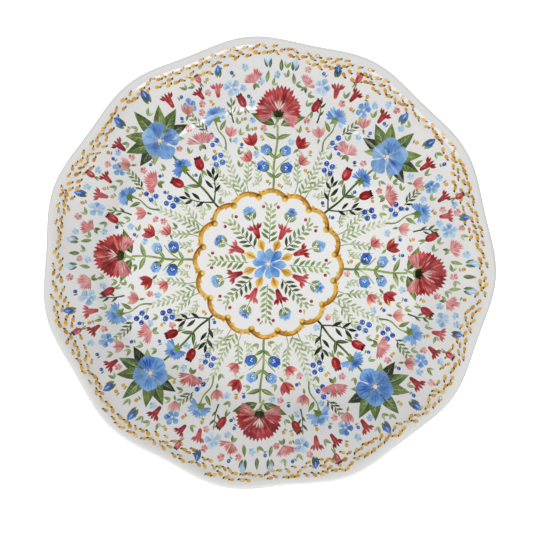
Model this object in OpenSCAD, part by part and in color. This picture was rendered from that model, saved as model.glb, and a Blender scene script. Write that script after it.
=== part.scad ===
// Scalloped porcelain serving bowl: one fired shell on a foot ring, with transfer-printed decoration inside.
// Frame: millimetres, +Z up, origin on the table at the centre of the foot ring, +X through the middle of a lobe.

/* [Overall] */
// Mean radius of the rim, halfway between a lobe and a valley
rim_r = 158; // [145:1:172]
// Height of the rim above the table
rim_h = 75; // [72:1:84]
// Wall thickness at the floor
floor_t = 5.5; // [4.5:0.1:7]
// Wall thickness at the lip
lip_t = 4.2; // [3.4:0.1:5]

/* [Scallops] */
// Number of lobes round the rim
lobes = 11; // [8:1:14]
// How far the rim swings in and out of its mean radius
wave = 2; // [0:0.1:3]
// How far the top of a lobe dips below the top of a valley
dip = 1.4; // [0:0.1:2]
// Height at which the wall starts to swell into lobes
wave_z = 38; // [34:1:48]

/* [Floor and wall] */
// Height of the inside floor at its centre
floor_z = 10; // [9.5:0.1:11]
// Radius of the dished floor, where the shoulder starts
floor_r = 107; // [100:1:110]
// Radius of curvature of the dished floor
dish = 540; // [500:10:700]
// Radius of curvature of the shoulder between floor and wall
shoulder = 17; // [14:1:22]
// Steepness of the lip where it rolls out, in degrees
lip_slope = 16; // [10:1:25]
// Radius of curvature of the rolled lip
lip_roll = 11; // [8:1:14]

/* [Foot ring] */
// Inner radius of the foot ring
foot_in = 70; // [66:1:74]
// Outer radius of the foot ring
foot_out = 79; // [77:1:84]
// Inward slope of each side of the foot ring, top to bottom
foot_taper = 2; // [1:0.25:3]
// Rounding of the foot ring's lower edges
foot_round = 1.2; // [0.6:0.1:1.6]

/* [Transfers] */
// Thickness of the printed transfer film
film = 0.1; // [0.08:0.01:0.2]
// Radius of the round transfer in the centre of the floor
medallion_r = 60; // [50:1:65]

/* [Hidden] */

// Facets in a quarter of the circle, and in the whole of it, which is eight to a lobe
quarters = 4;
quarter_seg = lobes * 2;
seg = quarter_seg * quarters;
// Radius of the flat spot that closes the middle of a disc
eye = 6;
// Points in each stretch of the profile
fine = 4;
coarse = 3;
// How far the outside of the bowl stays clear of the land where the foot ring is joined
land_margin = 3;

porcelain = "white";
print_colour = "lightsteelblue";

// Points of an arc that starts at p heading at angle a, turns by turn degrees and has radius r.
// A positive turn curls upwards. The first point is left out, so that arcs join end to end.
function arc(p, a, turn, r, n) =
    let (side = sign(turn))
    [for (i = [1:n]) p + side * r * [sin(a + turn * i / n) - sin(a), cos(a) - cos(a + turn * i / n)]];

// Points of a straight line from p to q, again without the first.
function straight(p, q, n) = [for (i = [1:n]) p + (q - p) * i / n];

function last(v) = v[len(v) - 1];
function reversed(v) = [for (i = [len(v) - 1:-1:0]) v[i]];

// The inside of the bowl, as radius and height: the dished floor in two stretches, up to the shoulder.
medallion_slope = asin(medallion_r / dish);
floor_slope = asin(floor_r / dish);
medallion_line = arc([0, floor_z], 0, medallion_slope, dish, coarse);
floor_line = arc(last(medallion_line), medallion_slope, floor_slope - medallion_slope, dish, coarse);
floor_end = last(floor_line);

// The inner edge of the lip, placed so that the bullnose just reaches the rim's radius and height.
lip_end = [rim_r - lip_t / 2 * (1 + sin(lip_slope)), rim_h - lip_t / 2 * (1 - cos(lip_slope))];

// The wall is the straight line that touches both the shoulder's circle and the lip's.
shoulder_centre = floor_end + shoulder * [-sin(floor_slope), cos(floor_slope)];
lip_centre = lip_end + lip_roll * [sin(lip_slope), -cos(lip_slope)];
span = lip_centre - shoulder_centre;
wall_slope = atan2(span[1], span[0]) + asin((shoulder + lip_roll) / norm(span));
lip_start = lip_centre + lip_roll * [-sin(wall_slope), cos(wall_slope)];

shoulder_line = arc(floor_end, floor_slope, wall_slope - floor_slope, shoulder, fine);
wall_line = straight(last(shoulder_line), lip_start, fine);
lip_line = arc(lip_start, wall_slope, lip_slope - wall_slope, lip_roll, fine);

// The flat eye, the stretch under the medallion, and the stretch that the quarter transfers cover, which ends
// part of the way round the lip's roll.
centre_line = concat([[eye, floor_z]], medallion_line);
covered_lip = [for (i = [0:fine - 2]) lip_line[i]];
printed_line = concat([last(medallion_line)], floor_line, shoulder_line, wall_line, covered_lip);
inner_line = concat(centre_line, floor_line, shoulder_line, wall_line, lip_line);

// Direction of a line of points at point i, and the side that faces out of the bowl.
function along(line, i) = line[min(i + 1, len(line) - 1)] - line[max(i - 1, 0)];
function outwards(v) = [v[1], -v[0]] / norm(v);

// A line of points moved sideways. Its distance runs evenly from near at the start to far at the end.
function beside(line, near, far) =
    [for (i = [0:len(line) - 1]) line[i] + outwards(along(line, i)) * (near + (far - near) * i / (len(line) - 1))];

// The bullnose at the edge of the lip is a half circle between the inner and outer faces.
edge_side = outwards(last(inner_line) - inner_line[len(inner_line) - 2]);
nose_centre = last(inner_line) + edge_side * lip_t / 2;
nose_start = atan2(-edge_side[1], -edge_side[0]);
nose_line = [for (i = [1:fine]) let (a = nose_start - 180 * i / (fine + 1))
    nose_centre + lip_t / 2 * [cos(a), sin(a)]];

// The outside runs beside the inside, with a level land where the foot ring is joined.
outer_line = beside(inner_line, floor_t, lip_t);
land_z = floor_z - floor_t + dish - sqrt(dish * dish - foot_in * foot_in);
under_line = concat(
    [for (p = outer_line) if (p[0] < foot_in - land_margin) p],
    [[foot_in, land_z], [foot_out, land_z]],
    [for (p = outer_line) if (p[0] > foot_out + land_margin) p]);

// How far the wall has swelled into lobes at height z: 0 below wave_z, 1 at the rim.
function swell(z) = let (u = min(max((z - wave_z) / (rim_h - wave_z), 0), 1)) u * u * (3 - 2 * u);

// A profile point carried round to angle a.
function carried(p, a) =
    let (s = swell(p[1]), lobe = cos(lobes * a), r = p[0] + s * wave * lobe)
    [r * cos(a), r * sin(a), p[1] - s * dip * (1 + lobe) / 2];

// A closed solid through a list of rings with the same number of points, capped at both ends.
// The strips on the first crossed sides are split along their other diagonal.
// The caps of a thin rind run across it as a row of short faces, from one of its long sides to the other.
module skin(rings, crossed = 0, rind = false) {
    n = len(rings[0]);
    sides = [for (i = [0:len(rings) - 2], j = [0:n - 1])
        let (a = i * n + j, b = i * n + (j + 1) % n)
        each j < crossed ? [[a, b, a + n], [b, b + n, a + n]] : [[a, b, b + n], [a, b + n, a + n]]];
    cap = rind ? [for (j = [0:n / 2 - 2]) [j, j + 1, n - 2 - j, n - 1 - j]] : [[for (j = [0:n - 1]) j]];
    ends = [for (face = cap) each [reversed(face), [for (j = face) (len(rings) - 1) * n + j]]];
    polyhedron(points = [for (ring = rings) each ring], faces = concat(sides, ends));
}

// A line turned through a full circle. It starts and ends at the eye in the middle.
module turned(line) {
    skin([for (p = line) [for (j = [0:seg - 1]) carried(p, -360 * j / seg)]]);
}

// The outline of a film that lies on a stretch of the inside: along where it touches, and back along its top.
function film_outline(line) = concat(line, reversed(beside(line, -film, -film)));

module bowl_body() {
    color(porcelain) turned(concat(inner_line, nose_line, reversed(under_line)));
}

// The unglazed ring that the bowl stands on, with rounded lower edges.
module foot_ring() {
    bottom_in = foot_in + foot_taper;
    bottom_out = foot_out - foot_taper;
    corner = [for (i = [0:fine]) foot_round * [1 - cos(90 * i / fine), 1 - sin(90 * i / fine)]];
    color(porcelain) rotate_extrude($fn = seg)
        polygon(concat([[foot_out, land_z], [foot_in, land_z]],
            [for (c = corner) [bottom_in + c[0], c[1]]],
            [for (c = reversed(corner)) [bottom_out - c[0], c[1]]]));
}

module medallion_transfer() {
    color(print_colour) turned(reversed(film_outline(centre_line)));
}

// One of the four quarters that cover the rest of the floor and the wall. It meets its neighbours edge to edge.
// Its two faces are split alike, and like the porcelain under them.
module quarter_transfer(number) {
    outline = film_outline(printed_line);
    color(print_colour)
        skin([for (j = [0:quarter_seg])
            let (a = 360 * ((number - 1) * quarter_seg + j) / seg)
            [for (p = outline) carried(p, a)]],
            crossed = len(printed_line) - 1, rind = true);
}

bowl_body();
foot_ring();
medallion_transfer();
quarter_transfer(1);  // quarter_transfer_1
quarter_transfer(2);  // quarter_transfer_2
quarter_transfer(3);  // quarter_transfer_3
quarter_transfer(4);  // quarter_transfer_4
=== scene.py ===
"""Looks of a scalloped porcelain serving bowl, printed inside with a dense watercolour floral.

The print is drawn as flat shapes in millimetres on the bowl's plan. Each transfer is one sheet of film on the
inner face, cut along every painted edge, and each of its faces takes the colour of the last shape there.
"""

import math
import random

import bpy
import numpy as np
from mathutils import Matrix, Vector
from mathutils.geometry import delaunay_2d_cdt


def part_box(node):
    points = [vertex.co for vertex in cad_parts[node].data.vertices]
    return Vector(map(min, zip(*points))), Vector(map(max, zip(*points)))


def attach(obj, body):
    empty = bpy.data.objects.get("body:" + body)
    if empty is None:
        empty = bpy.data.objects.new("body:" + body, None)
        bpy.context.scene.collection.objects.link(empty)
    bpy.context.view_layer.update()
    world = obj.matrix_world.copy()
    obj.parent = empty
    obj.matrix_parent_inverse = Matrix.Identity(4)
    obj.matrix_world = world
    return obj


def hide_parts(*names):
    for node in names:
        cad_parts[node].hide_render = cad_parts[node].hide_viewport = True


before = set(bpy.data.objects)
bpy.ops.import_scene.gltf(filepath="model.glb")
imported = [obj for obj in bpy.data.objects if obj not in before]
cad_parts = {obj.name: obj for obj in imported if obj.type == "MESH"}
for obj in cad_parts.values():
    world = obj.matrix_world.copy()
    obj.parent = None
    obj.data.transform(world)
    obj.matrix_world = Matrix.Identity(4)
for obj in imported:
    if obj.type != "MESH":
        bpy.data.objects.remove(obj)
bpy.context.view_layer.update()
scene = bpy.context.scene

MM = 0.001
SEED = 7

# -------- the bowl's form, as in the CAD model, in mm

LOBES = 11
WAVE = 2.0
DIP = 1.4
WAVE_Z = 38.0
FLOOR_Z = 10.0
FLOOR_T = 5.5
LIP_T = 4.2
FLOOR_R = 107.0
DISH = 540.0
SHOULDER = 17.0
LIP_SLOPE = math.radians(16)
LIP_ROLL = 11.0
FOOT_IN = 70.0
FOOT_OUT = 79.0
FOOT_TAPER = 2.0
FOOT_ROUND = 1.2
FILM = 0.1
MEDALLION_R = 60.0
# How far the outside of the bowl stays clear of the foot, on its inner and its outer side
CLEAR_IN = 2.0
CLEAR_OUT = 3.0

rim_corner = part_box("bowl_body")[1]
RIM_R = rim_corner.x / MM - WAVE
RIM_H = rim_corner.z / MM

# Steps in each stretch of the profile, and those of the lip that the print covers
FLOOR_STEPS = 59
SHOULDER_STEPS = 24
WALL_STEPS = 28
LIP_STEPS = 16
PRINTED_LIP_STEPS = 12
NOSE_STEPS = 13
FOOT_CORNER_STEPS = 8
FOOT_SIDE_STEPS = 7
# Sides of the turned bowl, 32 to a lobe, and of the foot
BOWL_SIDES = 32 * LOBES
FOOT_SIDES = 256


def arc_points(centre, radius, start, end, count):
    """Points of an arc, without the first. Angles are measured from straight down, turning outwards."""
    angles = np.linspace(start, end, count + 1)[1:]
    return np.column_stack([centre[0] + radius * np.sin(angles), centre[1] - radius * np.cos(angles)])


def dish_z(r):
    """How far the dished floor has risen at a radius."""
    return DISH - np.sqrt(DISH**2 - r**2)


def inner_profile():
    """The inside of the bowl as rows of radius and height, and the radius on the lip where the print ends."""
    floor_slope = math.asin(FLOOR_R / DISH)
    r = np.linspace(0, FLOOR_R, FLOOR_STEPS + 1)
    floor = np.column_stack([r, FLOOR_Z + dish_z(r)])
    half = LIP_T / 2
    lip_end = np.array([RIM_R - half * (1 + math.sin(LIP_SLOPE)), RIM_H - half * (1 - math.cos(LIP_SLOPE))])
    shoulder_centre = floor[-1] + SHOULDER * np.array([-math.sin(floor_slope), math.cos(floor_slope)])
    lip_centre = lip_end + LIP_ROLL * np.array([math.sin(LIP_SLOPE), -math.cos(LIP_SLOPE)])
    span = lip_centre - shoulder_centre
    wall_slope = math.atan2(span[1], span[0]) + math.asin((SHOULDER + LIP_ROLL) / np.linalg.norm(span))
    shoulder = arc_points(shoulder_centre, SHOULDER, floor_slope, wall_slope, SHOULDER_STEPS)
    lip_start = lip_centre + LIP_ROLL * np.array([-math.sin(wall_slope), math.cos(wall_slope)])
    steps = np.linspace(0, 1, WALL_STEPS + 1)[1:, None]
    wall = shoulder[-1] + (lip_start - shoulder[-1]) * steps
    lip = arc_points(lip_centre, -LIP_ROLL, wall_slope, LIP_SLOPE, LIP_STEPS)
    return np.vstack([floor, shoulder, wall, lip]), lip[PRINTED_LIP_STEPS - 1][0]


INNER, PRINT_R = inner_profile()


def swell(z):
    """How far the wall has swelled into lobes: 0 below WAVE_Z, 1 at the rim."""
    u = np.clip((z - WAVE_Z) / (RIM_H - WAVE_Z), 0, 1)
    return u * u * (3 - 2 * u)


def carried(r, z, angle):
    """Profile points carried round the axis, in mm."""
    s = swell(z)
    lobe = np.cos(LOBES * angle)
    out = r + s * WAVE * lobe
    return np.stack([out * np.cos(angle), out * np.sin(angle), z - s * DIP * (1 + lobe) / 2], axis=-1)


def inner_point(xy):
    """Points of the plan carried on to the inner face, in mm."""
    r = np.hypot(xy[:, 0], xy[:, 1])
    return carried(r, np.interp(r, INNER[:, 0], INNER[:, 1]), np.arctan2(xy[:, 1], xy[:, 0]))


def inner_normal(xy):
    """Unit normals of the inner face at points of the plan, facing into the bowl."""
    step = 0.4
    east = inner_point(xy + (step, 0)) - inner_point(xy - (step, 0))
    north = inner_point(xy + (0, step)) - inner_point(xy - (0, step))
    normal = np.cross(east, north)
    return normal / np.linalg.norm(normal, axis=1, keepdims=True)


def turned_normals(line):
    """Unit directions square to a line of radius and height: down from a floor, and outwards from a wall."""
    along = np.gradient(line, axis=0)
    side = np.column_stack([along[:, 1], -along[:, 0]])
    return side / np.linalg.norm(side, axis=1, keepdims=True)


def body_profile():
    """The outline from the middle of the inside, over the lip, to the middle beneath, and the foot's top."""
    side = turned_normals(INNER)
    centre = INNER[-1] + side[-1] * LIP_T / 2
    start = math.atan2(-side[-1][1], -side[-1][0])
    angles = start - np.linspace(0, math.pi, NOSE_STEPS + 1)[1:-1]
    nose = centre + LIP_T / 2 * np.column_stack([np.cos(angles), np.sin(angles)])
    thickness = np.linspace(FLOOR_T, LIP_T, len(INNER))[:, None]
    outside = INNER + side * thickness
    land_z = FLOOR_Z - FLOOR_T + dish_z(FOOT_IN)
    inside_foot = outside[outside[:, 0] < FOOT_IN - CLEAR_IN]
    outside_foot = outside[outside[:, 0] > FOOT_OUT + CLEAR_OUT]
    land = np.array([[FOOT_IN, land_z], [(FOOT_IN + FOOT_OUT) / 2, land_z], [FOOT_OUT, land_z]])
    under = np.vstack([inside_foot, land, outside_foot])
    return np.vstack([INNER[1:], nose, under[1:][::-1]]), land_z


# -------- meshes


def new_object(name, verts_mm, faces):
    """A smooth mesh object from points in mm."""
    mesh = bpy.data.meshes.new(name)
    mesh.from_pydata((np.asarray(verts_mm) * MM).tolist(), [], faces)
    mesh.update()
    obj = bpy.data.objects.new(name, mesh)
    scene.collection.objects.link(obj)
    mesh.polygons.foreach_set("use_smooth", np.ones(len(mesh.polygons), bool))
    return obj


def lathe(name, line, segments, middle=None):
    """A closed loop turned round the axis, or a line that meets the axis at the two heights in middle."""
    angles = np.arange(segments) * 2 * math.pi / segments
    verts = np.vstack([carried(np.full(segments, r), np.full(segments, z), angles) for r, z in line])
    rings = len(line)
    faces = []
    for i in range(rings if middle is None else rings - 1):
        a, b = i * segments, (i + 1) % rings * segments
        for j in range(segments):
            k = (j + 1) % segments
            faces.append((a + k, a + j, b + j, b + k))
    if middle is not None:
        verts = np.vstack([verts, [[0, 0, z] for z in middle]])
        top, bottom, last = len(verts) - 2, len(verts) - 1, (rings - 1) * segments
        for j in range(segments):
            k = (j + 1) % segments
            faces.append((top, j, k))
            faces.append((bottom, last + k, last + j))
    return new_object(name, verts, faces)


# -------- painted shapes

# Red, green and blue on a scale of 255
PALETTE = {
    "paper": (240, 238, 235),
    "crimson": (152, 22, 29),
    "red": (184, 56, 58),
    "pink": (216, 132, 132),
    "blush": (236, 192, 188),
    "wine": (88, 20, 22),
    "cobalt": (38, 76, 172),
    "blue": (84, 142, 216),
    "sky": (150, 194, 232),
    "ice": (204, 224, 240),
    "ochre": (205, 146, 44),
    "gold": (235, 196, 94),
    "umber": (112, 62, 16),
    "orange": (216, 128, 40),
    "leaf": (112, 140, 60),
    "sage": (164, 180, 118),
    "mist": (204, 212, 184),
    "forest": (52, 70, 30),
    "olive": (94, 100, 48),
    "ink": (30, 30, 18),
}
# Steps of a line that one dab of a stroke covers
DAB = 4


def tint(colour, other=None, share=0.0):
    """A colour by name or by its red, green and blue, moved a share of the way to another."""
    first = np.array(PALETTE[colour] if isinstance(colour, str) else colour, float)
    if other is None:
        return first
    return first + (tint(other) - first) * share


def polar(radius, degrees):
    """Points at a radius, or at a radius each, in directions that are given in degrees from +X."""
    angle = np.radians(degrees)
    return np.column_stack([radius * np.cos(angle), radius * np.sin(angle)])


class Pen:
    """A place to draw from. Shapes are in mm round it, and land turned, scaled or mirrored on the plan."""

    def __init__(self, shapes, rng, matrix, offset=(0, 0)):
        self.shapes = shapes
        self.rng = rng
        self.matrix = np.asarray(matrix, float)
        self.offset = np.asarray(offset, float)

    def at(self, x, y, turn=0, size=1, flip=False):
        """A pen at a place that this one sees, turned by degrees, scaled, and mirrored if flip is set."""
        c, s = math.cos(math.radians(turn)) * size, math.sin(math.radians(turn)) * size
        local = np.array([[c, -s], [s, c]]) @ np.diag([1, -1 if flip else 1])
        return Pen(self.shapes, self.rng, self.matrix @ local, self.placed([(x, y)])[0])

    def placed(self, points):
        """Points that this pen sees, on the plan."""
        return np.asarray(points, float) @ self.matrix.T + self.offset

    def vary(self, low, high):
        """The next random number, from low to high."""
        return self.rng.uniform(low, high)

    def fill(self, outline, near, far=None, start=(0, 0), end=None, ring=False):
        """Paints an outline. Its colour runs from near at start to far at end, or outwards in rings."""
        tone = self.vary(0.9, 1.06)
        far = near if far is None else far
        start, end = self.placed([start, (1, 0) if end is None else end])
        colours = [np.clip(tint(c) * tone, 0, 250) for c in (near, far)]
        self.shapes.append((self.placed(outline), colours[0], colours[1], start, end - start, ring))


def blade(length, width, peak=0.45, bend=0.0, count=7):
    """A leaf or petal from the origin along +X, widest at peak, with its tip bent sideways."""
    t = np.linspace(0, 1, count)
    half = width / 2 * np.sin(math.pi * t ** (math.log(0.5) / math.log(peak)))
    spine = bend * t**2
    upper = np.column_stack([t * length, spine + half])
    lower = np.column_stack([t * length, spine - half])
    return np.vstack([lower, upper[-2:0:-1]])


def half_blade(length, width, peak, bend, count=7):
    """The lower half of a blade, for the shaded side of a leaf."""
    whole = blade(length, width, peak, bend, count)
    t = np.linspace(1, 0, count)[1:-1]
    return np.vstack([whole[:count], np.column_stack([t * length, bend * t**2])])


def disc(rx, ry=None, count=12, x=0.0, y=0.0):
    """An ellipse round x and y, or a circle if it has one radius only."""
    angle = np.arange(count) * 2 * math.pi / count
    return np.column_stack([x + rx * np.cos(angle), y + (rx if ry is None else ry) * np.sin(angle)])


def frill(radius, spread, teeth, depth):
    """A wedge from the origin with a toothed outer edge, centred on +X. The spread is in degrees."""
    odd = np.arange(2 * teeth + 1) % 2
    edge = polar(radius * (1 - depth * (1 - odd)), np.linspace(-spread / 2, spread / 2, 2 * teeth + 1))
    return np.vstack([[(0, 0)], edge])


def smooth_line(points, steps):
    """A smooth line through the points, with steps between each two."""
    p = np.asarray(points, float)
    p = np.vstack([2 * p[0] - p[1], p, 2 * p[-1] - p[-2]])
    t = np.arange(steps)[:, None] / steps
    spans = []
    for a, b, c, d in zip(p, p[1:], p[2:], p[3:]):
        first = (c - a) * t / 2
        second = (2 * a - 5 * b + 4 * c - d) * t**2 / 2
        third = (3 * b - a - 3 * c + d) * t**3 / 2
        spans.append(b + first + second + third)
    return np.vstack(spans + [p[-2:-1]])


def stroke(pen, points, width, end_width, near, far, steps=4):
    """A brush stroke along a smooth line, laid down as short dabs that change in tone from near to far."""
    line = smooth_line(points, steps)
    along = np.gradient(line, axis=0)
    length = np.maximum(np.linalg.norm(along, axis=1), 1e-6)
    side = np.column_stack([-along[:, 1], along[:, 0]]) / length[:, None]
    half = side * np.linspace(width, end_width, len(line))[:, None] / 2
    for i in range(0, len(line) - 1, DAB):
        j = min(i + DAB + 1, len(line))
        dab = np.vstack([line[i:j] - half[i:j], (line[i:j] + half[i:j])[::-1]])
        pen.fill(dab, tint(near, far, i / len(line)))


# -------- motifs


def streaks(pen, turns, start, length, width, near, far):
    """Thin blades that fan out from start along the pen's own directions, for veins and folds."""
    for turn in turns:
        pen.at(start, 0, turn).fill(blade(length, width, 0.6, 0, 5), near, far, end=(length, 0))


def leaf(pen, length, width, near="leaf", far="sage", bend=0.0):
    """A leaf in two tones, with a pale midrib."""
    tip = (length, 0)
    pen.fill(blade(length, width, 0.42, bend), near, far, end=tip)
    shaded = half_blade(length, width * 0.96, 0.42, bend)
    pen.fill(shaded, tint(near, "forest", 0.3), tint(near, far, 0.6), end=tip)
    if length > 5:
        pen.fill(blade(length * 0.8, width * 0.1, 0.4, bend * 0.6), tint(far, "paper", 0.35))


def broad_leaf(pen, length, width, near, far, bend=0.0):
    """A large leaf with brushed side veins and a darker lower half."""
    leaf(pen, length, width, near, far, bend)
    for i in range(5):
        at = 0.14 + 0.15 * i
        reach = width * 0.62 * math.sin(math.pi * (at + 0.16))
        for side in (-1, 1):
            tone = tint(near, "ink", 0.35) if side < 0 else tint(far, "mist", 0.45)
            vein = pen.at(length * at, bend * at * at, side * pen.vary(30, 42))
            vein.fill(blade(reach, width * 0.09, 0.5, 0, 5), tone, far, end=(reach, 0))


def fern(pen, length, pairs, size, near, far, lean=0.0, opening=52):
    """A stem along +X with pairs of slim leaflets that shrink and change tone towards its tip."""
    stroke(pen, [(0, 0), (length / 2, lean), (length, 0)], 0.6, 0.35, tint(near, far, 0.4), far)
    for i in range(pairs):
        t = (i + 0.5) / pairs
        tone = tint(near, far, max(0, min(1, t + pen.vary(-0.15, 0.15))))
        for side in (-1, 1):
            along = min(1, t + 0.2 * side / pairs)
            place = pen.at(length * along, lean * 4 * t * (1 - t), side * (opening + pen.vary(-7, 7)))
            reach = size * (1 - 0.45 * t) * pen.vary(0.9, 1.1)
            leaflet = blade(reach, size * 0.27, 0.5, -side * 0.6)
            place.fill(leaflet, tone, tint(tone, far, 0.4), end=(reach, 0))
    pen.at(length, 0).fill(blade(size * 0.55, size * 0.2), far)


def twig(pen, length, near, far):
    """A dark woody twig with pointed leaves, two on each side and one at its tip."""
    stroke(pen, [(0, 0), (length * 0.5, length * 0.06), (length, 0)], 1.2, 0.5, near, far)
    for t, side in ((0.35, 1), (0.5, -1), (0.75, 1), (0.85, -1)):
        reach = length * pen.vary(0.36, 0.46)
        place = pen.at(length * t, 0, side * pen.vary(38, 52))
        place.fill(blade(reach, reach * 0.3, 0.5, -side), near, far, end=(reach, 0))
    pen.at(length * 0.95, 0).fill(blade(length * 0.34, length * 0.12), far)


def berry(pen, radius, near, far):
    """A round berry with a light spot."""
    pen.fill(disc(radius, radius * 0.95, 10), near, far, (0.3 * radius, 0.3 * radius), (-radius, -radius))
    pen.fill(disc(radius * 0.24, None, 5, radius * 0.3, radius * 0.3), tint(far, "paper", 0.6))


def berries(pen, places, radius, knot):
    """Blue berries on fine stems that spring from the knot."""
    for x, y in places:
        bend = ((x + knot[0]) / 2 + 0.12 * (y - knot[1]), (y + knot[1]) / 2 - 0.12 * (x - knot[0]))
        stroke(pen, [knot, bend, (x, y)], 0.5, 0.4, "sage", "leaf")
    for x, y in places:
        berry(pen.at(x, y), radius * pen.vary(0.92, 1.08), "cobalt", "blue")


def rosehip(pen, length, width, near="crimson", far="red"):
    """A hip that lies along +X, with a green stalk behind it and a dark crown at its tip."""
    leaf(pen.at(0.4, 0, 155), length * 0.62, width * 0.34)
    stroke(pen, [(-length * 0.5, -0.4), (0.5, 0)], 0.8, 0.8, "leaf", "olive", 3)
    low, high = (length * 0.3, -width * 0.2), (length, width * 0.5)
    pen.fill(disc(length / 2, width / 2, 16, length / 2), near, far, low, high)
    shine = pen.at(length * 0.2, width * 0.1)
    shine.fill(blade(length * 0.5, width * 0.2), tint(far, "blush", 0.35), far, end=(length * 0.5, 0))
    for side in (-1, 1, 0):
        crown = pen.at(length * 0.8, width * 0.2 * side, 16 * side)
        crown.fill(blade(length * 0.26, width * 0.34, 0.4, 0, 5), "ink", "wine")


def calyx(pen, size):
    """A dark cup that opens along +X, on a curling green stalk with sepals."""
    stalk = [(-size * 2.1, size * 0.5), (-size * 1.1, size * 0.1), (-size * 0.3, 0)]
    stroke(pen, stalk, 1.5, 2.2, "sage", "leaf")
    leaf(pen.at(-size * 0.9, size * 0.2, 28), size * 1.5, size * 0.42, "leaf", "sage", size * 0.25)
    leaf(pen.at(-size * 0.9, -size * 0.1, -34), size * 1.3, size * 0.4, "sage", "leaf", -size * 0.25)
    for turn in (-42, -14, 14, 42):
        sepal = pen.at(-size * 0.55, 0, turn)
        sepal.fill(blade(size * 1.15, size * 0.62, 0.4), "ink", tint("ink", "umber", 0.35), end=(size, 0))


def carnation(pen, radius, tones, spread):
    """A carnation from the side: one ruffled petal for each tone, laid from the sides to the middle."""
    count = len(tones)
    middle = (count - 1) / 2
    step = spread / count
    for i in sorted(range(count), key=lambda k: -abs(k - middle)):
        petal = pen.at(0, 0, spread * ((i + 0.5) / count - 0.5) + pen.vary(-7, 7))
        reach = radius * (1.1 - 0.2 * abs(i - middle) / middle) * pen.vary(0.94, 1.06)
        deep = tones[i]
        outer = frill(reach, step * 1.5, 5, 0.13)
        petal.fill(outer, tint(deep, "blush", 0.55), deep, (reach * 0.3, 0), (reach * 0.8, 0))
        inner = frill(reach * pen.vary(0.7, 0.86), step * 1.05, 4, 0.2)
        fold = petal.at(0, 0, pen.vary(-8, 8))
        fold.fill(inner, tint(deep, "blush", 0.25), tint(deep, "wine", 0.2), end=(reach * 0.8, 0))
        for streak in (-0.45, -0.15, 0.2, 0.5):
            ray = petal.at(0, 0, streak * step + pen.vary(-4, 4)).at(reach * pen.vary(0.2, 0.55), 0)
            dark = pen.vary(0, 1) < 0.4
            tone = tint(deep, "wine", 0.35) if dark else tint(deep, "blush", pen.vary(0.4, 0.9))
            line = blade(reach * 0.42, reach * 0.075, 0.6, 0, 5)
            ray.fill(line, tint(deep, tone, 0.5), tone, end=(reach * 0.4, 0))
    streaks(pen, (-40, -16, 8, 30), radius * 0.16, radius * 0.4, radius * 0.07, "paper", "blush")
    calyx(pen.at(0.5, 0), radius * 0.3)


def pink_head(pen, radius, spread):
    """A paler, looser carnation head on a small green cup."""
    leaf(pen.at(0, 0, 150), radius * 0.5, radius * 0.26, "leaf", "olive")
    leaf(pen.at(0, 0, 205), radius * 0.5, radius * 0.26, "sage", "leaf")
    order = (0, 5, 1, 4, 2, 3)
    step = spread / len(order)
    for i in order:
        petal = pen.at(0, 0, spread * ((i + 0.5) / len(order) - 0.5) + pen.vary(-9, 9))
        reach = radius * pen.vary(0.74, 1.14)
        deep = tint("pink", "red", pen.vary(-0.2, 0.4))
        outer = frill(reach, step * 1.35, 3, 0.24)
        petal.fill(outer, tint(deep, "paper", 0.35), deep, (reach * 0.2, 0), (reach, 0))
        inner = frill(reach * 0.7, step * 0.8, 3, 0.2)
        petal.fill(inner, tint(deep, "blush", 0.2), tint(deep, "blush", 0.65), end=(reach * 0.7, 0))
        for streak in (-0.3, 0.25):
            ray = petal.at(0, 0, streak * step).at(reach * pen.vary(0.25, 0.5), 0)
            line = blade(reach * 0.42, reach * 0.08, 0.6, 0, 5)
            ray.fill(line, tint(deep, "red", 0.6), deep, end=(reach * 0.4, 0))


def cornflower(pen, radius, near, far):
    """A cornflower from the side: split rays round a green knot, opening along +X."""
    rays = 9
    spread = 235
    for i in range(rays):
        turn = spread * ((i + 0.5) / rays - 0.5) + pen.vary(-5, 5)
        reach = radius * pen.vary(0.72, 1.05)
        tone = tint(near, far, pen.vary(0.2, 0.9))
        ray = frill(reach, spread / rays * 1.15, 2, 0.2)
        pen.at(0, 0, turn).fill(ray, tone, tint(tone, far, 0.6), end=(reach, 0))
    streaks(pen, (-66, -18, 30, 74), radius * 0.3, radius * 0.4, radius * 0.2, near, tint(near, far, 0.6))
    knot = disc(radius * 0.24, radius * 0.28)
    pen.at(-radius * 0.12, 0).fill(knot, "leaf", "olive", end=(-radius * 0.2, 0))
    for turn in (150, 210):
        leaf(pen.at(-radius * 0.1, 0, turn), radius * 0.5, radius * 0.22)


def blossom(pen, radius, near, far, petals=5, width=0.74, deep="cobalt"):
    """An open flower of loose, round-ended petals, one of them deeper in tone than the rest."""
    pen.fill(disc(radius * 0.42, None, 9), near, far, end=(radius * 0.4, 0), ring=True)
    for i in range(petals):
        petal = pen.at(0, 0, 360 / petals * i + pen.vary(-9, 9))
        reach = radius * pen.vary(0.84, 1.1)
        tone = tint(near, deep, 0.35) if i == 1 else tint(near, far, pen.vary(0, 0.9))
        whole = blade(reach * 0.98, radius * width, 0.68, 0, 9)
        petal.fill(whole, tint(tone, near, 0.4), tint(tone, far, 0.7), end=(reach, 0))
        for side in (-14, 0, 12):
            vein = petal.at(0, 0, side).at(radius * pen.vary(0.14, 0.36), 0)
            line = blade(reach * 0.54, radius * 0.1, 0.5)
            vein.fill(line, tint(tone, deep, 0.25), tone, end=(reach * 0.5, 0))
    for i in range(6):
        pen.at(0, 0, 60 * i).fill(disc(radius * 0.05, None, 5, radius * 0.17), "ochre", "gold")
    pen.fill(disc(radius * 0.11, None, 7), "paper")


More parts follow.
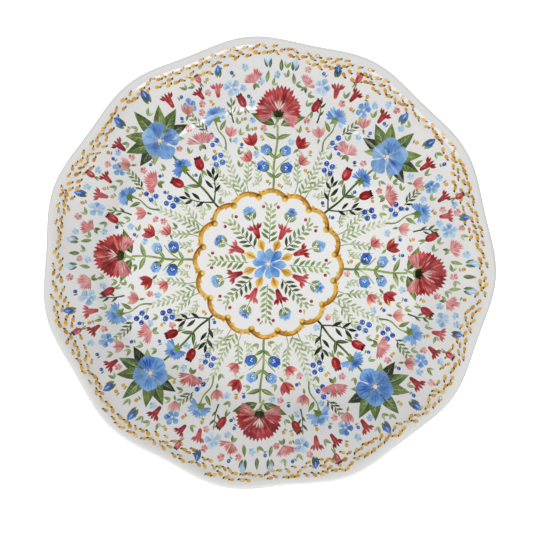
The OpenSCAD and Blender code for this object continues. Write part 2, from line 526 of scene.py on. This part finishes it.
def eyed_flower(pen, radius, near, far):
    """A round flower with white stamens, on two pairs of green sepals that open along +X behind it."""
    for turn in (-42, 42, -12, 14):
        sepal = pen.at(-radius * 1.12, 0, turn)
        sepal.fill(blade(radius * 1.25, radius * 0.5, 0.5), "leaf", "forest", end=(radius, 0))
    for i in range(6):
        petal = pen.at(radius * 0.1, 0, i * 60 + pen.vary(-8, 8))
        tone = tint(near, far, pen.vary(0, 0.8))
        petal.fill(blade(radius * 0.98, radius * 0.95, 0.6), tone, tint(tone, far, 0.5), end=(radius, 0))
    pen.fill(disc(radius * 0.34, None, 9), tint(near, "ink", 0.15), near, end=(radius * 0.3, 0), ring=True)
    for x, y in ((0.05, 0.0), (-0.2, 0.2), (-0.15, -0.22)):
        pen.fill(disc(radius * 0.13, None, 6, radius * x, radius * y), "paper")


def bell(pen, length, near, far):
    """A small bell along +X: a tube that widens to a fringed mouth."""
    back, mouth = length * 0.14, length * 0.26
    tube = [(0, -back), (length * 0.62, -mouth), (length * 0.62, mouth), (0, back)]
    pen.fill(tube, near, far, end=(length, 0))
    pen.fill(disc(back * 1.05, None, 8), near)
    for turn, side in ((-24, -0.5), (0, 0), (24, 0.5), (-44, -0.8), (44, 0.8)):
        place = pen.at(length * 0.5, mouth * side, turn)
        lobe = blade(length * 0.46, length * 0.2, 0.45, 0, 5)
        place.fill(lobe, near, tint(near, far, 0.7), end=(length * 0.5, 0))
    shine = pen.at(length * 0.08, -back * 0.2)
    shine.fill(blade(length * 0.6, length * 0.09), tint(near, "blush", 0.35), near, end=(length * 0.6, 0))


def tulip(pen, length, near, far):
    """A half-open tulip along +X with one golden edge."""
    for turn, bend in ((26, 0.8), (-26, -0.8), (0, 0)):
        petal = blade(length, length * 0.46, 0.5, bend)
        pen.at(0, 0, turn).fill(petal, tint(near, "red", 0.3), tint(far, "blush", 0.25), end=(length, 0))
        fold = pen.at(length * 0.1, 0, turn + pen.vary(-8, 8))
        shade = blade(length * 0.74, length * 0.13, 0.6)
        fold.fill(shade, tint(near, "wine", 0.3), near, end=(length * 0.7, 0))
    pen.at(length * 0.45, length * 0.22, 34).fill(blade(length * 0.6, length * 0.1), "gold")
    leaf(pen.at(0, 0, 200), length * 0.5, length * 0.2)


def bud(pen, length, near, far):
    """A plain bud along +X, held between green sepals."""
    leaf(pen.at(-length * 0.12, length * 0.1, 22), length * 0.75, length * 0.24, "leaf", "olive")
    pen.fill(blade(length, length * 0.6, 0.5, 0, 9), near, far, end=(length, 0))
    pen.at(length * 0.35, length * 0.04).fill(blade(length * 0.5, length * 0.12), tint(far, "paper", 0.45))
    leaf(pen.at(-length * 0.15, -length * 0.08, -14), length * 0.8, length * 0.26, "leaf", "forest")


def mimosa(pen, size):
    """One floret of the border: an ochre dab with a yellow side and a green sepal."""
    pen.at(-size * 0.42, size * 0.3, 205).fill(blade(size * 0.85, size * 0.44, 0.5, 0, 5), "leaf", "forest")
    tone = tint("ochre", "gold", pen.vary(-0.1, 0.9))
    low, high = (-size * 0.5, -size * 0.3), (size * 0.6, size * 0.3)
    dab = disc(size * 0.64, size * 0.41, 9)
    pen.fill(dab, tint(tone, "orange", 0.35), tint(tone, "gold", 0.6), low, high)


def gold_band(pen, radius, scallops, rise, width):
    """A closed band of outward arcs in worn gold, with a bead where two arcs meet."""
    step = 360 / scallops
    t = np.linspace(-0.5, 0.5, 7)
    line = polar(radius + rise * np.cos(math.pi * t), step * t)
    for k in range(scallops):
        arc = pen.at(0, 0, step * k)
        stroke(arc, line, width, width, "ochre", "gold")
        stroke(arc, line * 1.02, width * 0.34, width * 0.34, tint("ochre", "umber", 0.5), "ochre")
        for share in (-0.34, -0.12, 0.1, 0.32):
            height = radius + rise * math.cos(math.pi * share)
            place = arc.at(0, 0, step * share).at(height, 0, 90 - 60 * share)
            tone = ("gold", "orange", "umber", "gold")[int(pen.vary(0, 4))]
            worn = blade(width * 1.3, width * 0.5, 0.5, 0, 5)
            place.fill(worn, tint("ochre", tone, 0.6), "gold", end=(4, 0))
    for k in range(scallops):
        bead = pen.at(0, 0, step * (k + 0.5)).at(radius - width * 0.3, 0)
        bead.fill(disc(width * 0.72, None, 12), "gold", "umber", (-1, 0), (2, 0))
        bead.fill(disc(width * 0.3, None, 8, -width * 0.12), "gold")


# -------- the pattern, in mm on the plan

# Four carnation bouquets and four blossom bouquets stand in turn round the bowl. What grows between two of
# them is drawn eight times, every second one mirrored, so the pattern is mirrored about X and Y, but for its
# looseness and the small fillers. Motifs are placed by distances outwards and sideways, and by their turn.

# An eighth of the circle and half of that, in degrees
EIGHTH = 45.0
MIDDLE = EIGHTH / 2
# Radius of the gold band, and the radius at which stems come out from under it
BAND_R = 50.0
STEM_R = 53.2
# Most that a bouquet is turned off its place, in degrees, and most that its size is off, in parts
LOOSE = 1.0
SIZE_PARTS = 60
# Radii that hold the fillers, the places tried in an eighth, and their distance from each other and the rest
FILL_FROM = 57
FILL_TO = 141
FILL_TRIES = 2400
FILL_APART = 5.4
FILL_CLEAR = 2.6
# The border's outer radius, its width, how far that swings, and its florets' tries and squared distance
BORDER_R = 152.3
BORDER_WIDTH = 7.4
BORDER_SWING = 3
BORDER_TRIES = 12000
BORDER_APART_SQUARED = 13.5


def outwards(pen, turn, flip=False):
    """A pen that looks outwards from the middle, a touch off its place and size, as if laid on by hand."""
    turn += pen.vary(-LOOSE, LOOSE)
    size = 1 + pen.vary(-LOOSE, LOOSE) / SIZE_PARTS
    return pen.at(0, 0, turn, size, flip)


def sides(pen):
    """The two sides of a bouquet, as mirror images."""
    yield pen
    yield pen.at(0, 0, flip=True)


def draw_centre(pen):
    """The open flower in the middle, with ferns, bells and small cornflowers round it, in a gold band."""
    for k in range(8):
        spoke = outwards(pen, EIGHTH * k)
        fern(spoke.at(15, 0), 25, 6, 8.0, "forest" if k % 2 else "leaf", "sage", 0, 56)
        between = outwards(pen, EIGHTH * k + MIDDLE)
        stroke(between, [(12, 0), (20, 0.6), (30, 0), (37, 0)], 0.7, 0.6, "sage", "leaf")
        bell(between.at(21, 0), 11, "red" if k % 2 else "crimson", "pink")
        cornflower(between.at(39.5, 0), 5.2, "cobalt" if k % 2 else "blue", "sky")
        for x, y, turn in ((34, 0.8, 38), (34, -0.8, -38)):
            leaf(between.at(x, y, turn), 6.5, 2.4)
        between.at(9, 0).fill(blade(10, 5.6, 0.62, 0, 9), "ochre", "gold", end=(8, 0))
        between.at(10.5, 0).fill(blade(7, 1.7, 0.6), tint("ochre", "umber", 0.4), "ochre", end=(5, 0))
        for side in sides(spoke):
            berry(side.at(41.5, 5.4), 1.3, "crimson", "red")
            side.at(42, 2.2, 40).fill(blade(4.4, 1.5), "leaf", "sage")
    blossom(pen, 13, "blue", "sky", 8, 0.5)
    gold_band(pen, BAND_R, 16, 3.6, 3.4)


def draw_carnation_bouquet(pen):
    """A large carnation on a stem of small eyed flowers, with tulips, hips and pale heads beside it."""
    stroke(pen, [(STEM_R, 0), (60, 0), (72, 0.8), (88, -0.6), (100, 0)], 1.7, 1.5, "leaf", "sage", 5)
    for side in sides(pen):
        stroke(side, [(66, 0), (72, 4), (77, 9.5)], 1.1, 0.7, "sage", "leaf")
        eyed_flower(side.at(70, 8.5, 70), 4.4, "cobalt", "blue")
        eyed_flower(side.at(82, 7, 60), 4.2, "blue", "sky")
        for x, turn in ((62, 50), (76, 46)):
            leaf(side.at(x, 0, turn), 8, 2.6, bend=0.6)
        leaf(side.at(90, 0, 62), 11, 3.4, bend=1.2)
        tulip(side.at(84, 16, 28), 10, "crimson", "red")
        tulip(side.at(73, 17.5, 44), 8.5, "red", "blush")
        broad_leaf(side.at(100, 2, 62), 19, 7, "olive", "leaf", 2)
        rosehip(side.at(111, 24, 34), 9.4, 5.6)
        pink_head(side.at(127, 18, 26), 9, 120)
        bud(side.at(138, 9, 6), 8, "sky", "ice")
        leaf(side.at(128, 10, -10), 8, 2.8, "sage", "leaf")
    carnation(pen.at(108, 0), 17.5, ("pink", "red", "red", "crimson", "red", "crimson", "red", "pink"), 236)
    leaf(pen.at(136, 0, 2), 8, 3, "olive", "leaf")


def draw_blossom_bouquet(pen):
    """A large blue blossom in a collar of broad green leaves, over hips, a cornflower and dark twigs."""
    stroke(pen, [(STEM_R, 0), (59, 0), (70, -0.8), (86, 0.6), (104, 0)], 1.6, 1.5, "forest", "leaf", 5)
    for side in sides(pen):
        twig(side.at(59, 0, 40), 20, "forest", "ink")
        leaf(side.at(74, 0, 40), 10, 2.8, "forest", "leaf", 0.8)
        rosehip(side.at(82, 8.5, 22), 10, 6.6)
        berries(side, ((78, 19), (82.5, 21.5), (76.5, 23.6), (81, 26)), 2.1, (72, 16))
        pink_head(side.at(96, 21, 30), 10.5, 140)
        bell(side.at(128, 23, 8), 9.6, "crimson", "red")
        tulip(side.at(117, 27, 40), 8.4, "pink", "blush")
        bud(side.at(139, 12, 10), 8.6, "cobalt", "blue")
        for turn, reach, near, far in (
            (96, 21, "ink", "forest"), (64, 23, "forest", "leaf"),
            (34, 22, "olive", "leaf"), (122, 16, "leaf", "sage"),
        ):
            broad_leaf(side.at(117, 2, turn), reach, reach * 0.4, near, far, 2)
    broad_leaf(pen.at(119, 0), 22, 8.6, "forest", "leaf")
    cornflower(pen.at(92, 0), 9, "cobalt", "sky")
    blossom(pen.at(117, 0, 180), 14, tint("blue", "cobalt", 0.3), "sky", 5, 0.9)


def draw_wedge(pen):
    """What grows between two bouquets: pale ferns, then a cornflower among bells, berries and blossoms."""
    fern(pen.at(54, 0, 2), 35, 9, 6.4, tint("leaf", "sage", 0.3), "mist", 1.4)
    for side in sides(pen):
        stroke(side, [(53, 4), (62, 5.2), (70, 9)], 0.7, 0.5, tint("olive", "mist", 0.5), "mist")
        fern(side.at(60, 5, 20), 25, 7, 5.2, tint("leaf", "sage", 0.5), "mist", 1.0)
        fern(side.at(56.6, 13, 12), 16, 5, 4.6, "sage", "mist", 0.8)
        fern(side.at(57, 8.4, 52), 9, 3, 3.6, "sage", "mist")
    stroke(pen, [(89, 1), (97, -1), (106, 1.5), (114, 0)], 1.2, 0.8, "leaf", "sage", 5)
    berries(pen, ((96, 9), (100.5, 11.5), (103, 7.5), (98, 5)), 2.0, (92, 3))
    tulip(pen.at(97, -5, -30), 9, "pink", "blush")
    leaf(pen.at(104, 0, -42), 9, 3, bend=-1)
    cornflower(pen.at(114, 0, 4), 9.4, tint("cobalt", "blue", 0.5), "sky")
    fern(pen.at(106, 9, 26), 17, 5, 6, "forest", "sage", 0.6, 46)
    twig(pen.at(106, -11, -14), 14, "forest", "leaf")
    bell(pen.at(127, -7, -12), 9.4, "red", "pink")
    bell(pen.at(129, 4, 20), 8.6, "crimson", "red")
    blossom(pen.at(129, -18), 6.2, "sky", "ice")
    blossom(pen.at(127, 15), 5.6, "blue", "sky")
    bud(pen.at(139, -12, -16), 7.4, "cobalt", "blue")
    rosehip(pen.at(139.5, 2, 12), 6.6, 4.2, "red", "pink")


def gaps(pen):
    """Random places in the eighth that the pen looks along, clear of all painted edges and of each other."""
    painted = (np.vstack([shape[0] for shape in pen.shapes]) - pen.offset) @ np.linalg.inv(pen.matrix).T
    # the eighth and a little of its neighbours
    ahead = painted[np.abs(painted[:, 1]) < painted[:, 0] * 0.5]
    found = []
    for _ in range(FILL_TRIES):
        r = math.sqrt(pen.vary(FILL_FROM**2, FILL_TO**2))
        place = polar(r, pen.vary(-MIDDLE, MIDDLE))[0]
        if np.sum((ahead - place) ** 2, axis=1).min() > FILL_CLEAR**2:
            if all(np.sum((other - place) ** 2) > FILL_APART**2 for other in found):
                found.append(place)
    return found


def draw_fillers(pen):
    """Small leaves, berries and blossoms in the gaps of one eighth of the bowl."""
    for k, (x, y) in enumerate(gaps(pen)):
        place = pen.at(x, y, pen.vary(-70, 70))
        if k % 3 == 0:
            leaf(place.at(-2, 0, 18), 5.6, 2.1)
            leaf(place.at(-2, 0, -36), 4.8, 1.9, "sage", "mist")
        elif k % 3 == 1:
            stroke(place, [(-3, 0.6), (0, 0)], 0.5, 0.4, "sage", "leaf")
            leaf(place.at(-2.4, 0.4, 60), 2.8, 1.1)
            tones = ("ochre", "gold") if k % 2 else ("cobalt", "blue")
            berry(place, 1.4, *tones)
        elif k % 2:
            blossom(place, 2.8, "pink", "blush", 5, 0.8, "crimson")
        else:
            blossom(place, 2.8, "sky", "ice", 5, 0.8, "blue")


def draw_border(pen):
    """Small ochre florets, scattered in a band under the lip that widens between the bouquets."""
    placed = []
    for _ in range(BORDER_TRIES):
        angle = pen.vary(-180, 180)
        low = BORDER_R - BORDER_WIDTH - BORDER_SWING * math.cos(math.radians(8 * (angle + MIDDLE)))
        x, y = polar(pen.vary(low, BORDER_R), angle)[0]
        if all((x - a) ** 2 + (y - b) ** 2 > BORDER_APART_SQUARED for a, b in placed):
            placed.append((x, y))
            mimosa(pen.at(x, y, angle + 90 + pen.vary(-38, 38)), pen.vary(2.4, 3.2))


def pattern():
    """All painted shapes of the bowl, in the order they are painted."""
    pen = Pen([], random.Random(SEED), np.eye(2))
    draw_border(pen)
    eighths = [outwards(pen, MIDDLE + EIGHTH * k, k % 2 == 1) for k in range(8)]
    for eighth in eighths:
        draw_wedge(eighth)
    for k in range(4):
        draw_blossom_bouquet(outwards(pen, 90 * k + EIGHTH))
        draw_carnation_bouquet(outwards(pen, 90 * k))
    draw_centre(pen)
    for eighth in eighths:
        draw_fillers(eighth)
    return pen.shapes


# -------- sheets

# Points of a sheet that are closer than this become one
MERGE = 0.004
# Steps along a seam between two quarters, and round a quarter's outer and inner edge
SEAM_STEPS = 45
OUTER_STEPS = 88
INNER_STEPS = 45
# Spacing of a sheet's rows up to each radius, closest at the shoulder and the lip, and spacing along a row
SPACING = ((103, 3.5), (126, 1.3), (140, 2.4), (math.inf, 1.1))
SPACING_ROUND = 3.4
# Least distance from a row to the sheet's outer edge
EDGE_GAP = 0.7
# The film thins out over this distance at its outer edge, to this share of its thickness
THIN_OUT = 2
THINNEST = 0.2


def signed_area(p):
    """The area inside an outline, which is negative if the outline runs clockwise."""
    return 0.5 * float(np.sum(p[:, 0] * np.roll(p[:, 1], -1) - np.roll(p[:, 0], -1) * p[:, 1]))


def topmost(points, painted):
    """For each point, the number of the last shape that covers it, counted from 1, or 0 for none."""
    top = np.zeros(len(points), int)
    x, y = points.T
    for number, shape in enumerate(painted, 1):
        outline = shape[0]
        low, high = outline.min(axis=0), outline.max(axis=0)
        near = np.nonzero((x > low[0]) & (x < high[0]) & (y > low[1]) & (y < high[1]))[0]
        (xa, ya), (xb, yb) = outline.T, np.roll(outline, -1, axis=0).T
        px, py = x[near, None], y[near, None]
        rise = np.where(yb == ya, 1, yb - ya)
        crosses = ((ya > py) != (yb > py)) & (px < xa + (xb - xa) * (py - ya) / rise)
        top[near[crosses.sum(axis=1) % 2 == 1]] = number
    return top


def cut_sheet(domain, grid, painted):
    """A sheet's points and triangles on the plan, cut along the painted edges, and each one's top shape."""
    outlines = [domain] + [s[0] if signed_area(s[0]) > 0 else s[0][::-1] for s in painted]
    starts = np.cumsum([0] + [len(o) for o in outlines])
    rings = [list(range(a, b)) for a, b in zip(starts, starts[1:])]
    points = [Vector(p) for p in np.vstack(outlines + [grid])]
    coords, _, faces, _, _, origins = delaunay_2d_cdt(points, [], rings, 1, MERGE)
    flat = np.array([tuple(c) for c in coords])
    tris = np.array([face for face, owners in zip(faces, origins) if 0 in owners])
    top = topmost(flat[tris].mean(axis=1), painted)
    used, tris = np.unique(tris, return_inverse=True)
    return flat[used], tris.reshape(-1, 3), top


def linear(values):
    """Screen values from 0 to 1 as amounts of light."""
    return np.where(values <= 0.04045, values / 12.92, ((values + 0.055) / 1.055) ** 2.4)


def corner_colours(corner, owner, painted):
    """The colour at each corner of a face, from the shape that owns it, and 1 if painted or 0 if bare."""
    bare = owner == 0
    index = np.maximum(owner - 1, 0)
    near, far, start, way = (np.array([s[k] for s in painted])[index] for k in (1, 2, 3, 4))
    ring = np.array([s[5] for s in painted])[index]
    reach = np.maximum(np.sum(way * way, axis=1), 1e-9)
    share = np.where(
        ring,
        np.linalg.norm(corner - start, axis=1) / np.sqrt(reach),
        np.sum((corner - start) * way, axis=1) / reach,
    )
    colour = near + (far - near) * np.clip(share, 0, 1)[:, None]
    colour = np.where(bare[:, None], PALETTE["paper"], colour) / 255
    return np.column_stack([linear(colour), 1.0 - bare])


def lay_sheet(name, domain, grid, shapes):
    """One transfer as a sheet of film on the inner face, cut and coloured along its painted edges."""
    low, high = domain.min(axis=0), domain.max(axis=0)
    painted = [s for s in shapes if (s[0].max(axis=0) > low).all() and (s[0].min(axis=0) < high).all()]
    flat, tris, top = cut_sheet(domain, grid, painted)
    normal = inner_normal(flat)
    lift = FILM * np.clip((PRINT_R - np.hypot(flat[:, 0], flat[:, 1])) / THIN_OUT, THINNEST, 1)
    obj = new_object(name, inner_point(flat) + normal * lift[:, None], tris.tolist())
    obj.data.normals_split_custom_set_from_vertices(normal.tolist())
    rgba = corner_colours(flat[tris].reshape(-1, 2), np.repeat(top, 3), painted)
    layer = obj.data.color_attributes.new("print", "FLOAT_COLOR", "CORNER")
    layer.data.foreach_set("color", rgba.astype(np.float32).ravel())
    return obj


def ring_points(radius, start, end, count):
    """Points along an arc round the middle, with both of its ends."""
    return polar(radius, np.linspace(start, end, count + 1))


def grid_points(low_r, high_r, start, end):
    """Points that let a sheet follow the bowl, in rows that are spaced as SPACING says."""
    rows = []
    r = low_r
    while r < high_r - EDGE_GAP:
        rows.append(r)
        r += next(gap for limit, gap in SPACING if r < limit)
    points = []
    for k, radius in enumerate(rows):
        count = max(1, round(math.radians(end - start) * radius / SPACING_ROUND))
        step = (end - start) / count
        angles = start + step * (np.arange(count) + (0.5 if k % 2 else 0.25))
        points.append(polar(radius, angles))
    return np.vstack(points)


def build_transfers():
    """Each transfer's CAD node and its sheet: the medallion, and four quarters that meet edge to edge."""
    shapes = pattern()
    round_edge = polar(MEDALLION_R, np.arange(4 * INNER_STEPS) * (90 / INNER_STEPS))
    medallion = lay_sheet("medallion", round_edge, grid_points(3.5, MEDALLION_R, 0, 360), shapes)
    sheets = [("medallion_transfer", medallion)]
    for n in range(4):
        a, b = 90 * n, 90 * n + 90
        straight = np.linspace(MEDALLION_R, PRINT_R, SEAM_STEPS + 1)[1:-1, None]
        outer = ring_points(PRINT_R, a, b, OUTER_STEPS)
        inner = ring_points(MEDALLION_R, b, a, INNER_STEPS)
        domain = np.vstack([straight * polar(1, a), outer, straight[::-1] * polar(1, b), inner])
        grid = grid_points(MEDALLION_R + 2, PRINT_R, a, b)
        sheets.append((f"quarter_transfer_{n + 1}", lay_sheet(f"quarter_{n + 1}", domain, grid, shapes)))
    return sheets


# -------- materials


def shader(name):
    """A new material, its node tree and its surface node."""
    material = bpy.data.materials.new(name)
    material.use_nodes = True
    tree = material.node_tree
    return material, tree, tree.nodes["Principled BSDF"]


def add(tree, kind, **values):
    """A new node with its properties and inputs set. An input is named with spaces as underscores."""
    node = tree.nodes.new(kind)
    for key, value in values.items():
        if hasattr(node, key):
            setattr(node, key, value)
        else:
            node.inputs[key.replace("_", " ")].default_value = value
    return node


def noise(tree, scale, detail, roughness=0.5):
    """Cloudy noise that is fixed to the object."""
    place = tree.nodes.new("ShaderNodeTexCoord")
    node = add(tree, "ShaderNodeTexNoise", Scale=scale, Detail=detail, Roughness=roughness)
    tree.links.new(place.outputs["Object"], node.inputs["Vector"])
    return node.outputs["Fac"]


def remap(tree, source, low, high, to_low, to_high):
    """A value that runs from to_low to to_high as the source runs from low to high."""
    node = tree.nodes.new("ShaderNodeMapRange")
    for key, value in (("From Min", low), ("From Max", high), ("To Min", to_low), ("To Max", to_high)):
        node.inputs[key].default_value = value
    tree.links.new(source, node.inputs["Value"])
    return node.outputs["Result"]


def patches(tree, scale, detail, roughness, low, high):
    """Noise that runs from low to high over the middle of its range, where most of it lies."""
    return remap(tree, noise(tree, scale, detail, roughness), 0.3, 0.7, low, high)


def blend(tree, factor, a, b):
    """A mix of two colours. The factor and each colour is a value or another node's output."""
    node = tree.nodes.new("ShaderNodeMix")
    node.data_type = "RGBA"
    for socket, value in ((node.inputs["Factor"], factor), (node.inputs["A"], a), (node.inputs["B"], b)):
        if isinstance(value, (int, float, tuple)):
            socket.default_value = value
        else:
            tree.links.new(value, socket)
    return node.outputs["Result"]


def rgb(r, g, b):
    """A colour on a scale of 255 as a shader takes it."""
    return (*linear(np.array([r, g, b]) / 255).tolist(), 1.0)


GLAZE = rgb(240, 240, 238)
GLAZE_COOL = rgb(235, 235, 234)
# painted shade: the greyer colour that the glaze takes over the lip
LIP_PAINTED_SHADE = rgb(226, 226, 224)
CLAY = rgb(222, 214, 199)
CLAY_DARK = rgb(206, 196, 178)
# Heights in metres over which painted shade greys the glaze towards the lip, and over which the foot's glaze
# gives way to clay
LIP_SHADE_HEIGHTS = (0.062, 0.073)
GLAZE_LINE = (0.0019, 0.0014)


def height_share(tree, heights):
    """0 to 1 as the height above the table goes from the first of two heights to the second."""
    place = tree.nodes.new("ShaderNodeTexCoord")
    split = tree.nodes.new("ShaderNodeSeparateXYZ")
    tree.links.new(place.outputs["Object"], split.inputs[0])
    return remap(tree, split.outputs["Z"], *heights, 0, 1)


def uneven(tree, surface, source, strength, distance):
    """Gives a surface a bump from a source of heights."""
    bump = add(tree, "ShaderNodeBump", Strength=strength, Distance=distance)
    tree.links.new(source, bump.inputs["Height"])
    tree.links.new(bump.outputs["Normal"], surface.inputs["Normal"])


def glaze(printed):
    """Clear glaze over white porcelain, with a transfer's watercolour between the two if it is printed."""
    material, tree, surface = shader("printed_glaze" if printed else "glaze")
    colour = blend(tree, patches(tree, 9, 2, 0.5, 0, 1), GLAZE, GLAZE_COOL)
    # painted shade: the glaze turns greyer up over the lip
    colour = blend(tree, height_share(tree, LIP_SHADE_HEIGHTS), colour, LIP_PAINTED_SHADE)
    if printed:
        # the wash is uneven at two scales, and where it is thin its colour is paler
        paint = add(tree, "ShaderNodeVertexColor", layer_name="print")
        density = add(tree, "ShaderNodeMath", operation="ADD")
        tree.links.new(patches(tree, 210, 4, 0.6, 0.24, 0.68), density.inputs[0])
        tree.links.new(patches(tree, 75, 3, 0.55, 0.24, 0.8), density.inputs[1])
        pigment = tree.nodes.new("ShaderNodeGamma")
        tree.links.new(paint.outputs["Color"], pigment.inputs["Color"])
        tree.links.new(density.outputs[0], pigment.inputs["Gamma"])
        colour = blend(tree, paint.outputs["Alpha"], colour, pigment.outputs[0])
    tree.links.new(colour, surface.inputs["Base Color"])
    surface.inputs["Roughness"].default_value = 0.12
    uneven(tree, surface, noise(tree, 26, 2), 0.05, 0.002)
    return material


def foot_material():
    """Glaze down the sides of the foot, and the bare ground clay that it stands on."""
    material, tree, surface = shader("foot")
    bare = height_share(tree, GLAZE_LINE)
    grain = patches(tree, 700, 4, 0.7, 0, 1)
    clay = blend(tree, grain, CLAY, CLAY_DARK)
    tree.links.new(blend(tree, bare, GLAZE, clay), surface.inputs["Base Color"])
    tree.links.new(remap(tree, bare, 0, 1, 0.14, 0.8), surface.inputs["Roughness"])
    uneven(tree, surface, grain, 0.2, 0.0004)
    return material


# -------- the pieces

BODY_LINE, LAND_Z = body_profile()
body = lathe("bowl", BODY_LINE, BOWL_SIDES, middle=(FLOOR_Z, FLOOR_Z - FLOOR_T))
body.data.materials.append(glaze(False))
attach(body, "root")
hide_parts("bowl_body")


def foot_profile():
    """The foot's section as a closed loop: up its inner side, across, and down its outer side."""
    low_in, low_out = FOOT_IN + FOOT_TAPER, FOOT_OUT - FOOT_TAPER
    turn = np.linspace(0, math.pi / 2, FOOT_CORNER_STEPS + 1)
    inset, height = FOOT_ROUND * (1 - np.sin(turn)), FOOT_ROUND * (1 - np.cos(turn))
    inner_corner = np.column_stack([low_in + inset, height])
    outer_corner = np.column_stack([low_out - inset, height])
    steps = np.linspace(0, 1, FOOT_SIDE_STEPS + 1)[1:, None]
    inner_side = inner_corner[-1] + ([FOOT_IN, LAND_Z] - inner_corner[-1]) * steps
    outer_side = outer_corner[-1] + ([FOOT_OUT, LAND_Z] - outer_corner[-1]) * steps
    top = np.array([[FOOT_IN + (FOOT_OUT - FOOT_IN) * k / 4, LAND_Z] for k in (1, 2, 3)])
    return np.vstack([inner_corner, inner_side, top, outer_side[::-1], outer_corner[::-1]])


foot = lathe("foot", foot_profile(), FOOT_SIDES)
foot.data.materials.append(foot_material())
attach(foot, "root")
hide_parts("foot_ring")

printed_glaze = glaze(True)
for node, sheet in build_transfers():
    sheet.data.materials.append(printed_glaze)
    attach(sheet, "root")
    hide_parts(node)

# -------- the set

bpy.ops.mesh.primitive_plane_add(size=14, location=(0, 0, 0))
floor = bpy.context.object
floor.name = "floor"
sweep, paper, paper_surface = shader("paper_sweep")
paper_surface.inputs["Base Color"].default_value = (0.85, 0.85, 0.85, 1)
paper_surface.inputs["Roughness"].default_value = 0.9
paper_surface.inputs["Emission Color"].default_value = (1, 1, 1, 1)
# the paper glows to the camera only, so that it stays white without lighting the bowl
rays = paper.nodes.new("ShaderNodeLightPath")
glow = remap(paper, rays.outputs["Is Camera Ray"], 0, 1, 0, 0.74)
paper.links.new(glow, paper_surface.inputs["Emission Strength"])
floor.data.materials.append(sweep)


def softbox(name, azimuth, tilt, distance, width, height, power):
    """An area lamp that faces the bowl from an azimuth and an angle from straight up, in degrees."""
    lamp = bpy.data.lights.new(name, "AREA")
    lamp.shape = "RECTANGLE"
    lamp.size, lamp.size_y = width, height
    lamp.energy = power
    obj = bpy.data.objects.new(name, lamp)
    a, t = math.radians(azimuth), math.radians(tilt)
    obj.location = Vector((math.sin(t) * math.cos(a), math.sin(t) * math.sin(a), math.cos(t))) * distance
    aim = Vector((0, 0, 0.04)) - obj.location
    obj.rotation_euler = aim.to_track_quat("-Z", "Y").to_euler()
    scene.collection.objects.link(obj)
    return obj


softbox("top", 90, 45, 2.0, 1.0, 1.0, 13.2).visible_glossy = False
softbox("low", 262, 50, 1.8, 0.5, 0.5, 15.2).visible_glossy = False
softbox("key_sheen", 292, 66, 1.5, 0.86, 0.6, 10).visible_diffuse = False
softbox("side_sheen", 231, 77, 1.5, 0.9, 0.8, 9).visible_diffuse = False

world = bpy.data.worlds.new("studio")
world.use_nodes = True
air = world.node_tree
background = air.nodes["Background"]
background.inputs["Color"].default_value = (1, 1, 1, 1)
# the sky is white to the camera, and dimmer in the glaze than in the light that it sheds
rays = air.nodes.new("ShaderNodeLightPath")
strength = add(air, "ShaderNodeMath", operation="MAXIMUM")
air.links.new(remap(air, rays.outputs["Is Glossy Ray"], 0, 1, 0.45, 0.25), strength.inputs[0])
air.links.new(rays.outputs["Is Camera Ray"], strength.inputs[1])
air.links.new(strength.outputs[0], background.inputs["Strength"])
scene.world = world

# straight down, turned a few degrees, with the bowl a touch off the middle
camera_data = bpy.data.cameras.new("camera")
camera_data.lens = 147
camera_data.sensor_width = 36
camera = bpy.data.objects.new("camera", camera_data)
TURN = math.radians(3.2)
CAMERA_Z = 1.6
across, up = -0.0013, -0.0019
east = across * math.cos(TURN) - up * math.sin(TURN)
north = across * math.sin(TURN) + up * math.cos(TURN)
camera.location = (east, north, CAMERA_Z)
camera.rotation_euler = (0, 0, TURN)
scene.collection.objects.link(camera)
scene.camera = camera

scene.view_settings.view_transform = "Standard"
